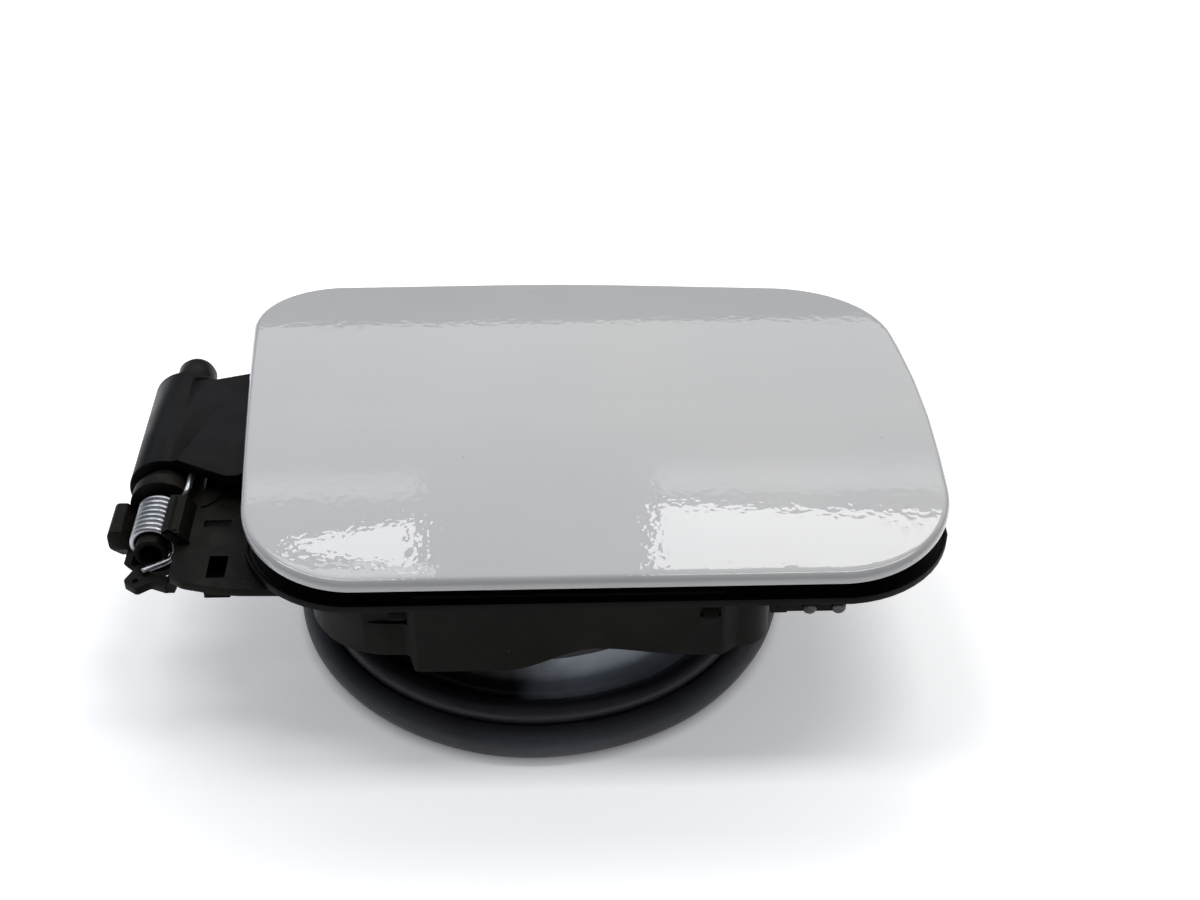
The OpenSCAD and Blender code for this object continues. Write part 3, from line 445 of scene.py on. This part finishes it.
def build_skin():
    """Pressed skin with its rolled edge and folded hem."""
    edge = outline(CORNERS)
    skin_t, hem_w, hem_h, roll, hem_round = 1.0, 4.0, 3.0, 1.8, 0.35
    hem_angles = [math.radians(d) for d in (0, 30, 60, 90)]
    roll_angles = [math.radians(d) for d in range(0, 91, 9)]
    shares = [1 - k / 26 for k in range(26)]

    def ring(inset, drop):
        return [(p.x, p.y, crown(p.y) - drop) for p in inwards(edge, inset)]

    def field(share, drop):
        moved = [MIDDLE + share * (p - MIDDLE) for p in inwards(edge, hem_w)]
        return [(q.x, q.y, crown(q.y) - drop) for q in moved]

    rings = [ring(hem_round * (1 - math.sin(a)), hem_h - hem_round * (1 - math.cos(a))) for a in hem_angles]
    rings += [ring(roll * (1 - math.cos(a)), roll * (1 - math.sin(a))) for a in roll_angles]
    rings.append(ring(hem_w - 0.8, 0))
    rings += [field(s, 0) for s in shares]
    rings += [field(s, skin_t) for s in reversed(shares)]
    rings += [ring(hem_w, skin_t + 0.5), ring(hem_w, hem_h - 0.3), ring(hem_w - 0.3, hem_h)]
    points, faces = rings_mesh(rings)
    n = len(edge)
    top_ring = len(hem_angles) + len(roll_angles) + len(shares)
    faces = [f for k, f in enumerate(faces) if k // n != top_ring]
    for first, drop, flip in ((top_ring * n, 0, False), ((top_ring + 1) * n, skin_t, True)):
        tip = len(points)
        points.append((MIDDLE.x, MIDDLE.y, crown(MIDDLE.y) - drop))
        for i in range(n):
            a, b = first + i, first + (i + 1) % n
            faces.append((b, a, tip) if flip else (a, b, tip))
    # The last ring closes on the first, under the hem
    final = len(rings) - 1
    for i in range(n):
        j = (i + 1) % n
        faces.append((final * n + i, final * n + j, j, i))
    attach(add_mesh("door_skin", points, faces, PAINT, 50), "door", "outer_skin")


# Where the photograph shows a form a little off its solid, the dressed copy is moved by these
FLANGE_INSET = 2
FLANGE_LOW = 50.6
SEAL_INSET = 0.6
# A row of these tables is the place in the solid, then the place seen
SEAL_HEIGHTS = [(51.1, 51.6), (55.6, 53.6)]
ALONG_PIN = [(-9.5, -9.5), (44.0, 33.0), (49.3, 39.3), (53.9, 48.3)]
ACROSS_ARM = [(-13.5, -16.8), (32.5, 28.0)]
EAR_EDGE = -113.0
EAR_ACROSS = [(-122.0, -117.6), (-113.0, -112.6)]
EAR_ALONG = [(-30.2, -28.4), (-16.2, -16.2)]
EAR_HEIGHTS = [(38.0, 40.6), (49.0, 49.0)]
LUG_ACROSS = [(-110.5, -110.7), (-106.0, -106.7), (-101.5, -103.2), (-95.0, -97.6)]
PLATE_FRONT = [(-56.6, -55.5), (-50.0, -50.0)]
# Clip slot: its middle and its size, and how far round the middle its walls are moved
SOLID_SLOT = (-84.7, -45.4, 6.4, 11.0)
SEEN_SLOT = (-84.6, -45.5, 5.0, 8.6)
SLOT_REACH = (3.4, 5.8)


def widened(corners, out, inset):
    """Corners moved out at the sides, and in at the front and back."""
    shift = [(-out, inset), (out, inset), (out, 0), (out, -inset), (0, -inset), (-out, -inset)]
    return [(x + dx, y + dy, r) for (x, y, r), (dx, dy) in zip(corners, shift)]


def polar_table(loop):
    return sorted((math.atan2(p.y - MIDDLE.y, p.x - MIDDLE.x), (p - MIDDLE).length) for p in loop)


def reach(table, angle):
    """Distance from the middle of the door to an outline, in a direction."""
    i = bisect.bisect(table, (angle,)) % len(table)
    (a0, r0), (a1, r1) = table[i - 1], table[i]
    span = (a1 - a0) % (2 * math.pi)
    return r0 + (r1 - r0) * (((angle - a0) % (2 * math.pi)) / span if span else 0)


SOLID_FLANGE = polar_table(inwards(outline(SOLID_CORNERS), FLANGE_INSET))
SEEN_FLANGE = polar_table(outline(widened(CORNERS, -0.3, 1.35)))
SOLID_SEAL = polar_table(inwards(outline(SOLID_CORNERS), SEAL_INSET))
SEEN_SEAL = polar_table(outline(widened(CORNERS, 0.7, 0.25)))
SOLID_DOOR = polar_table(outline(SOLID_CORNERS))
SEEN_DOOR = polar_table(outline(CORNERS))


def from_middle(x, y):
    away = Vector((x, y)) - MIDDLE
    return away, math.atan2(away.y, away.x), away.length


def seen_flange(x, y, z):
    """The edge of the flange, with the rest of the housing left alone."""
    away, angle, r = from_middle(x, y)
    if z < FLANGE_LOW or r < reach(SOLID_FLANGE, angle) - 0.4:
        return x, y, z
    moved = MIDDLE + away * (reach(SEEN_FLANGE, angle) / r)
    return moved.x, moved.y, z


def seen_seal(x, y, z):
    """The seal, flatter and narrower as it lies pressed on the flange."""
    away, angle, r = from_middle(x, y)
    moved = MIDDLE + away * ((reach(SEEN_SEAL, angle) + 0.6 * (r - reach(SOLID_SEAL, angle))) / r)
    return moved.x, moved.y, carried(z, SEAL_HEIGHTS)


def seen_panel(x, y, z):
    """The carrier under the skin: its border follows the skin's, its middle stays."""
    away, angle, r = from_middle(x, y)
    solid = reach(SOLID_DOOR, angle)
    share = min(1.0, max(0.0, (r / solid - 0.6) / 0.3))
    moved = MIDDLE + away * ((r + share * (reach(SEEN_DOOR, angle) - solid)) / max(r, 0.001))
    return moved.x, moved.y, z


def carried(value, table):
    """A place moved by a table of (place in the solid, place seen), straight between the rows."""
    if value <= table[0][0]:
        return value + table[0][1] - table[0][0]
    for (a, b), (c, d) in zip(table, table[1:]):
        if value <= c:
            return b + (d - b) * (value - a) / (c - a)
    return value + table[-1][1] - table[-1][0]


def seen_arm(x, y, z):
    """The arm and its barrel, which is 21 mm thick where the solid has 22."""
    share = min(1.0, max(0.0, (x + 94.0) / 8.0))
    y = (1 - share) * carried(y, ALONG_PIN) + share * carried(y, ACROSS_ARM)
    if math.hypot(x - PIN_X, z - PIN_Z) < 11.3:
        thinner = 21 / 22
        x, z = PIN_X + (x - PIN_X) * thinner, PIN_Z + (z - PIN_Z) * thinner
    return x, y, z


def seen_screw(x, y, z):
    return x, carried(y, ACROSS_ARM), z


def seen_pin(x, y, z):
    """The pin with its head, and the bush at its far end."""
    return x, carried(y, ALONG_PIN), z


def in_slot(x, y):
    return abs(x - SOLID_SLOT[0]) < SLOT_REACH[0] and abs(y - SOLID_SLOT[1]) < SLOT_REACH[1]


def seen_slot(x, y, z):
    (x0, y0, width, length), (x1, y1, seen_width, seen_length) = SOLID_SLOT, SEEN_SLOT
    return x1 + (x - x0) * seen_width / width, y1 + (y - y0) * seen_length / length, z


def seen_frame(x, y, z):
    """The hinge plate with the clip slot, the ear, the lug under the spring's end and the far lug."""
    if in_slot(x, y):
        return seen_slot(x, y, z)
    if x < EAR_EDGE:
        x, y, z = carried(x, EAR_ACROSS), carried(y, EAR_ALONG), carried(z, EAR_HEIGHTS)
    elif abs(x + 87) < 4.4 and -31.8 < y < -28.4:
        y += 2.4
    elif y < -38 and z < 45.2:
        x = carried(x, LUG_ACROSS)
        y += 0.8 if x > -101.5 else 0
    elif y < PLATE_FRONT[1][0]:
        y = carried(y, PLATE_FRONT)
    return x, carried(y, ALONG_PIN) if y > 0 else y, z


def seen_housing(x, y, z):
    return seen_slot(x, y, z) if in_slot(x, y) else seen_flange(x, y, z)


def arc_points(x, z, r, start, end, count):
    return [(x + r * math.cos(math.radians(start + (end - start) * k / count)),
             z + r * math.sin(math.radians(start + (end - start) * k / count))) for k in range(count + 1)]


def smooth_line(points, rounds=2):
    """Cuts the corners of an open line, and keeps its ends."""
    for _ in range(rounds):
        cut = [points[0]]
        for a, b in zip(points, points[1:]):
            cut.append(tuple(0.75 * p + 0.25 * q for p, q in zip(a, b)))
            cut.append(tuple(0.25 * p + 0.75 * q for p, q in zip(a, b)))
        points = cut + [points[-1]]
    return points


# Section of the boot between its beads, up the outside of the cone and down its inside: radius, height
CONE_OUTSIDE = [(58.6, 11.0), (57.4, 10.75), (56.2, 10.8), (55.3, 11.6), (54.9, 13.2), (54.4, 15.6),
                (53.6, 19.0), (52.8, 22.6), (52.0, 26.2), (51.4, 28.8), (50.9, 30.2), (50.7, 31.2),
                (50.7, 32.6), (50.7, 36.4)]
CONE_INSIDE = [(50.4, 36.7), (48.7, 36.7), (48.4, 36.4), (48.4, 33.0), (48.35, 29.7), (49.4, 24.6),
               (50.8, 18.2), (52.2, 11.6), (53.4, 8.9), (55.6, 8.2), (57.6, 7.8), (58.0, 7.4), (58.0, 4.0),
               (58.0, 0.6), (58.4, 0.1)]


def build_boot():
    """Rubber boot: thick outer bead, thin bead, folded membrane and cone, with soft uneven places."""
    outer = [(60.0, 0.05), (63.5, 0.1)]
    outer += arc_points(67, 4.85, 4.7, -98, 128, 22)
    outer += [(64.4, 8.6)]
    outer += arc_points(62.4, 11, 3.4, -28, 168, 18)
    section = smooth_line(outer + CONE_OUTSIDE, 1) + smooth_line(CONE_INSIDE, 1)
    turns = 256
    points = []
    for k in range(turns):
        a = 2 * math.pi * k / turns
        c, s = math.cos(a), math.sin(a)
        front = max(0.0, -s) ** 14
        for r, z in section:
            uneven = noise.noise(Vector((c * 2.2, s * 2.2, z * 0.05))) * 0.35
            free = min(1.0, max(0.0, (r - 50.9) / 6))
            fold = min(1.0, max(0.0, 1 - abs(z - 16) / 9)) * min(1.0, max(0.0, (56.5 - r) / 2))
            wrinkle = 0.45 * fold * noise.noise(Vector((c * 9, s * 9, z * 0.16)))
            rr = r + free * (uneven + (0.35 * front if r > 66 else 0)) + wrinkle - 0.35 * free * (r > 66)
            points.append((rr * c, rr * s, z))
    n = len(section)
    faces = []
    for k in range(turns):
        m = (k + 1) % turns
        for i in range(n):
            j = (i + 1) % n
            faces.append((k * n + i, m * n + i, m * n + j, k * n + j))
    obj = add_mesh("rubber_boot", points, faces, BOOT_PAINTED_LIT, 60)
    obj.data.materials.append(THIN_BEAD_PAINTED_SHADE)
    obj.data.materials.append(MEMBRANE_PAINTED_SHEEN)
    # The outer bead and foot keep the lighter rubber as painted light, the thin bead takes the darker copy as
    # painted shade.
    bead_edge, bead_low = 66.2, 8.2
    wall_low, wall_inside, wall_outside = 10.6, 53.0, 58.4
    for face in obj.data.polygons:
        middle = face.center / MM
        away = math.hypot(middle.x, middle.y)
        if away < bead_edge and middle.z > bead_low:
            face.material_index = 1
        # The thin wall of the cone, under the arch in the pot's wall, takes the light bluish rubber as a
        # painted sheen
        if middle.z > wall_low and wall_inside < away < wall_outside and middle.y < 0:
            face.material_index = 2
    attach(obj, "housing", "boot")


def sweep(name, path, diameter, material, sides=14):
    """A round wire along a path, with domed ends."""
    n = len(path)
    path = [Vector(p) for p in path]
    tangents = [(path[min(i + 1, n - 1)] - path[max(i - 1, 0)]).normalized() for i in range(n)]
    normal = Vector((0.3, 0.2, 1))
    points, faces = [], []

    def add_ring(centre, tangent, radius):
        side = tangent.cross(normal)
        for k in range(sides):
            a = 2 * math.pi * k / sides
            points.append(tuple(centre + radius * (math.cos(a) * normal + math.sin(a) * side)))

    rows = 0
    for i, (p, t) in enumerate(zip(path, tangents)):
        normal = (normal - normal.dot(t) * t).normalized()
        if i == 0:
            for f, w in ((0.42, 0.5), (0.3, 0.82)):
                add_ring(p - t * diameter * f * 0.5, t, diameter / 2 * w)
                rows += 1
        add_ring(p, t, diameter / 2)
        rows += 1
        if i == n - 1:
            for f, w in ((0.3, 0.82), (0.42, 0.5)):
                add_ring(p + t * diameter * f * 0.5, t, diameter / 2 * w)
                rows += 1
    for r in range(rows - 1):
        for k in range(sides):
            a, b = r * sides + k, r * sides + (k + 1) % sides
            faces.append((a, b, b + sides, a + sides))
    faces.append(tuple(reversed(range(sides))))
    faces.append(tuple((rows - 1) * sides + k for k in range(sides)))
    return add_mesh(name, points, faces, material, 60)


def polar(angle, r, y):
    a = math.radians(angle)
    return (PIN_X + r * math.cos(a), y, PIN_Z + r * math.sin(a))


def build_spring():
    """Torsion spring: its lead goes to the arm, and its tail lies on the lug."""
    wire, coil_r, first_angle, turn = 1.7, 5.6, 32, 1.9
    turns = 8
    sweep_angle = 360 * turns + 28
    y0 = -18.25
    steps = 330
    coil = [polar(first_angle - sweep_angle * i / steps, coil_r, y0 - turns * turn * i / steps)
            for i in range(5, steps + 1)]
    lead = smooth_line([polar(40, 10.1, -10.9), polar(40, 10.1, -12.2), polar(40, 10.1, -17.3),
                        polar(37, 8.5, -18.5), polar(30, 6.2, -18.4), coil[0]], 3)
    tail = smooth_line([coil[-1], (-98.4, -34.45, 46.6), (-98.6, -36.2, 46.15), (-99.9, -37.7, 45.95),
                        (-103.7, -39.9, 45.95), (-105.6, -41.2, 45.95)], 3)
    obj = sweep("spring_look", lead[:-1] + coil + tail[1:], wire, WIRE)
    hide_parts("hinge_spring")
    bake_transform(obj)


def prism(points, z0, z1):
    """Points and faces of a flat block with the given plan."""
    n = len(points)
    solid = [(x, y, z) for z in (z0, z1) for x, y in points]
    faces = [tuple(reversed(range(n))), tuple(range(n, 2 * n))]
    faces += [(i, (i + 1) % n, n + (i + 1) % n, n + i) for i in range(n)]
    return solid, faces


def box(x0, x1, y0, y1, z0, z1):
    return prism([(x0, y0), (x1, y0), (x1, y1), (x0, y1)], z0, z1)


def join_parts(parts):
    points, faces = [], []
    for solid, sides in parts:
        faces += [tuple(k + len(points) for k in f) for f in sides]
        points += solid
    return points, faces


def build_plate_forms():
    """Closed socket under the clip slot with the end of its stud, and the raised pad beside the barrel."""
    x0, x1, y0, y1 = -88.0, -81.2, -50.7, -40.2
    wall, low, high = 0.8, 44.5, 48.4
    parts = [box(x0, x1, y0, y1, low, low + 0.5),
             box(x0, x0 + wall, y0, y1, low, high),
             box(x1 - wall, x1, y0, y1, low, high),
             box(x0 + wall, x1 - wall, y0, y0 + wall, low, high),
             box(x0 + wall, x1 - wall, y1 - wall, y1, low, high)]
    stud_x, stud_y = -84.6, -43.9
    section = [(2.2, 44.9), (2.2, 45.3), (2.05, 45.45), (1.45, 45.45), (1.3, 45.3), (1.3, 44.9)]
    sides = 28
    angles = [2 * math.pi * k / sides for k in range(sides)]
    rings = [[(stud_x + radius * math.cos(a), stud_y + radius * math.sin(a), z) for a in angles]
             for radius, z in section]
    ring, faces = rings_mesh(rings)
    last = len(section) - 1
    faces += [(last * sides + k, last * sides + (k + 1) % sides, (k + 1) % sides, k) for k in range(sides)]
    parts.append((ring, faces))
    pad_x, pad_y, pad_r, pad_edge = -98.5, -10.5, 12.4, -92.6
    arc = arc_points(pad_x, pad_y, pad_r, -56, 16, 24)
    parts.append(prism(arc + [(pad_edge, arc[-1][1]), (pad_edge, arc[0][1])], 50.7, 51.3))
    attach(add_mesh("plate_forms", *join_parts(parts), HOUSING, 35), "housing")


# Outer and inner radius, height, lowest angle, and the two ends along the pin
SHELL_WALL = [
    (10.6, 6.9, 6.8, -66, -35.4, -20.0),
    (11.0, 9.9, 7.0, -122, -36.2, -35.2),
    (8.2, 6.9, 6.5, -122, -36.2, -35.2),
]


def build_shell_wall():
    """High wall beside the spring, cut flat on top, with a thin rim at its open end."""
    def on_arc(radius, degrees):
        return radius * math.cos(math.radians(degrees)), radius * math.sin(math.radians(degrees))

    def section(outside, inside, top, low):
        points = [on_arc(outside, a) for a in range(low, 67, 4) if on_arc(outside, a)[1] < top]
        points += [(math.sqrt(outside * outside - top * top), top), (3.6, top)]
        return points + [on_arc(inside, a) for a in range(56, low - 1, -4)]

    parts = []
    for outside, inside, top, low, y0, y1 in SHELL_WALL:
        solid, faces = prism(section(outside, inside, top, low), y0, y1)
        points = [(PIN_X + x, y, PIN_Z + z) for x, z, y in solid]
        parts.append((points, [tuple(reversed(f)) for f in faces]))
    attach(add_mesh("shell_wall", *join_parts(parts), HOUSING, 35), "housing")


build_skin()
build_boot()
build_spring()
build_plate_forms()
build_shell_wall()

# Pieces shown as copies of their solids: node, width of the rounding, material, slot, body, how it is moved
REFINED = [
    ("housing", 0.35, HOUSING, "housing_plastic", "housing", seen_housing),
    ("pot_floor", 0.3, HOUSING, "housing_plastic", "housing"),
    ("hinge_frame", 0.4, HOUSING, "housing_plastic", "housing", seen_frame),
    ("lock_pocket", 0.3, HOUSING, "housing_plastic", "housing"),
    ("lock_rail", 0.3, HOUSING, "housing_plastic", "housing"),
    ("flange_seal", 0.35, SEAL, "seal_rubber", "housing", seen_seal),
    ("boot_clamp", 0.15, BAND, "band_steel", "housing"),
    ("lock_bush", 0.3, BUSH, "bush_plastic", "housing"),
    ("bracket_screw_1", 0.15, DULL_STEEL, "screw_steel", "housing"),
    ("bracket_screw_2", 0.15, DULL_STEEL, "screw_steel", "housing"),
    ("hinge_pin", 0.3, BLACK_STEEL, "black_steel", "housing", seen_pin),
    ("bush_near", 0.4, BUSH, "bush_plastic", "door"),
    ("bush_far", 0.2, BUSH, "bush_plastic", "door", seen_pin),
    ("hinge_arm", 1.3, ARM, "arm_plastic", "door", seen_arm),
    ("arm_screw_1", 0.25, SCREW, "screw_steel", "door", seen_screw),
    ("arm_screw_2", 0.25, SCREW, "screw_steel", "door", seen_screw),
    ("arm_screw_3", 0.25, SCREW, "screw_steel", "door", seen_screw),
    ("inner_panel", 0.25, CARRIER, "carrier_plastic", "door", seen_panel),
    ("cap_hook", 0.4, CARRIER, "carrier_plastic", "door"),
    ("lock_striker", 0.4, CARRIER, "carrier_plastic", "door"),
    ("rubber_stop_1", 0.6, SEAL, "seal_rubber", "door"),
    ("rubber_stop_2", 0.6, SEAL, "seal_rubber", "door"),
]
for row in REFINED:
    refine(*row)


# Studio: pale floor, a soft ceiling behind the object, and bright panes that show in the paint
def lit_panel(name, corners, axis, span, stops, strength):
    """A lit pane, seen only in reflections and as light. Its colour runs along one axis over the span."""
    mesh = bpy.data.meshes.new(name)
    mesh.from_pydata(corners, [], [tuple(range(len(corners)))])
    obj = bpy.data.objects.new(name, mesh)
    scene.collection.objects.link(obj)
    material = bpy.data.materials.new(name)
    material.use_nodes = True
    tree = material.node_tree
    tree.nodes.remove(tree.nodes["Principled BSDF"])
    glow = add_node(tree, "ShaderNodeEmission", Strength=strength)
    split = tree.nodes.new("ShaderNodeSeparateXYZ")
    tree.links.new(place(tree), split.inputs["Vector"])
    offset = math_node(tree, "SUBTRACT", split.outputs[axis], span[0])
    share = math_node(tree, "DIVIDE", offset, span[1] - span[0])
    tree.links.new(ramp(tree, share, stops), glow.inputs["Color"])
    tree.links.new(glow.outputs["Emission"], tree.nodes["Material Output"].inputs["Surface"])
    mesh.materials.append(material)
    obj.visible_camera = False
    obj.visible_shadow = False


def rectangle(x0, x1, y0, y1, z):
    return [(x0, y0, z), (x1, y0, z), (x1, y1, z), (x0, y1, z)]


def add_floor():
    mesh = bpy.data.meshes.new("floor")
    mesh.from_pydata(rectangle(-6, 6, -6, 6, 0), [], [(0, 1, 2, 3)])
    floor = bpy.data.objects.new("floor", mesh)
    scene.collection.objects.link(floor)
    material, tree, shader = new_material("floor")
    cloud = noise_value(tree, place(tree), 3, 2)
    tree.links.new(ramp(tree, cloud, [(0.3, 0.94), (0.7, 0.955)]), shader.inputs["Base Color"])
    shader.inputs["Roughness"].default_value = 0.9
    shader.inputs["Specular IOR Level"].default_value = 0.1
    shader.inputs["Emission Color"].default_value = (0.97, 0.98, 1.0, 1)
    # The floor glows softly as painted light, apart from the place under the boot, whose dark is painted
    # shade
    away = tree.nodes.new("ShaderNodeVectorMath")
    away.operation = "LENGTH"
    tree.links.new(place(tree), away.inputs[0])
    glow = ramp(tree, math_node(tree, "MULTIPLY", away.outputs["Value"], 5), [(0.335, 0.0), (0.365, 0.36)])
    tree.links.new(glow, shader.inputs["Emission Strength"])
    mesh.materials.append(material)


def add_world():
    world = bpy.data.worlds.new("studio")
    scene.world = world
    world.use_nodes = True
    world.node_tree.nodes["Background"].inputs["Color"].default_value = (0.90, 0.93, 1.0, 1)
    world.node_tree.nodes["Background"].inputs["Strength"].default_value = 0.17


# Lit panes: name, corners in metres, axis and span of the colour, its stops, strength
EVEN = [(0, 1.0), (1, 1.0)]
SKY = [(0.0, (0.80, 0.88, 1.05)), (0.45, (1, 1, 1.0)), (1.0, (1, 0.99, 0.95))]
FADE = [(0.0, 0.85), (0.3, 1.0), (1.0, 0.54)]
PANES = [
    ("ceiling_back", rectangle(-4, 4, 0.9, 4.72, 2.0), "X", (-2, 1.5), SKY, 1.5),
    ("pane_right", [(0.165, 1.64, 1.98), (0.86, 1.47, 1.98), (0.80, 1.17, 1.98), (0.14, 1.20, 1.98)],
     "X", (0, 1), EVEN, 7.5),
    ("pane_left", [(-0.24, 1.56, 1.98), (-0.23, 1.25, 1.98), (-0.44, 1.36, 1.98), (-0.44, 1.42, 1.98)],
     "X", (0, 1), EVEN, 7.5),
    ("glow_right", rectangle(0.175, 0.95, 1.72, 2.05, 1.985), "Y", (1.72, 2.05), FADE, 2.8),
    ("glow_left", rectangle(-0.85, -0.25, 1.72, 2.0, 1.985), "Y", (1.72, 2.0), FADE, 2.8),
    ("low_left", rectangle(-0.62, -0.2, 1.0, 1.27, 1.985), "Y", (1.0, 1.27), [(0.0, 0.55), (1.0, 1.0)], 4.5),
    ("overhead_right", rectangle(0.12, 1.3, 0.05, 0.42, 1.99), "X", (0, 1), EVEN, 8),
    ("overhead_left", rectangle(-1.3, -0.22, 0.05, 0.42, 1.99), "X", (0, 1), EVEN, 8),
]

add_floor()
add_world()
for pane in PANES:
    lit_panel(*pane)
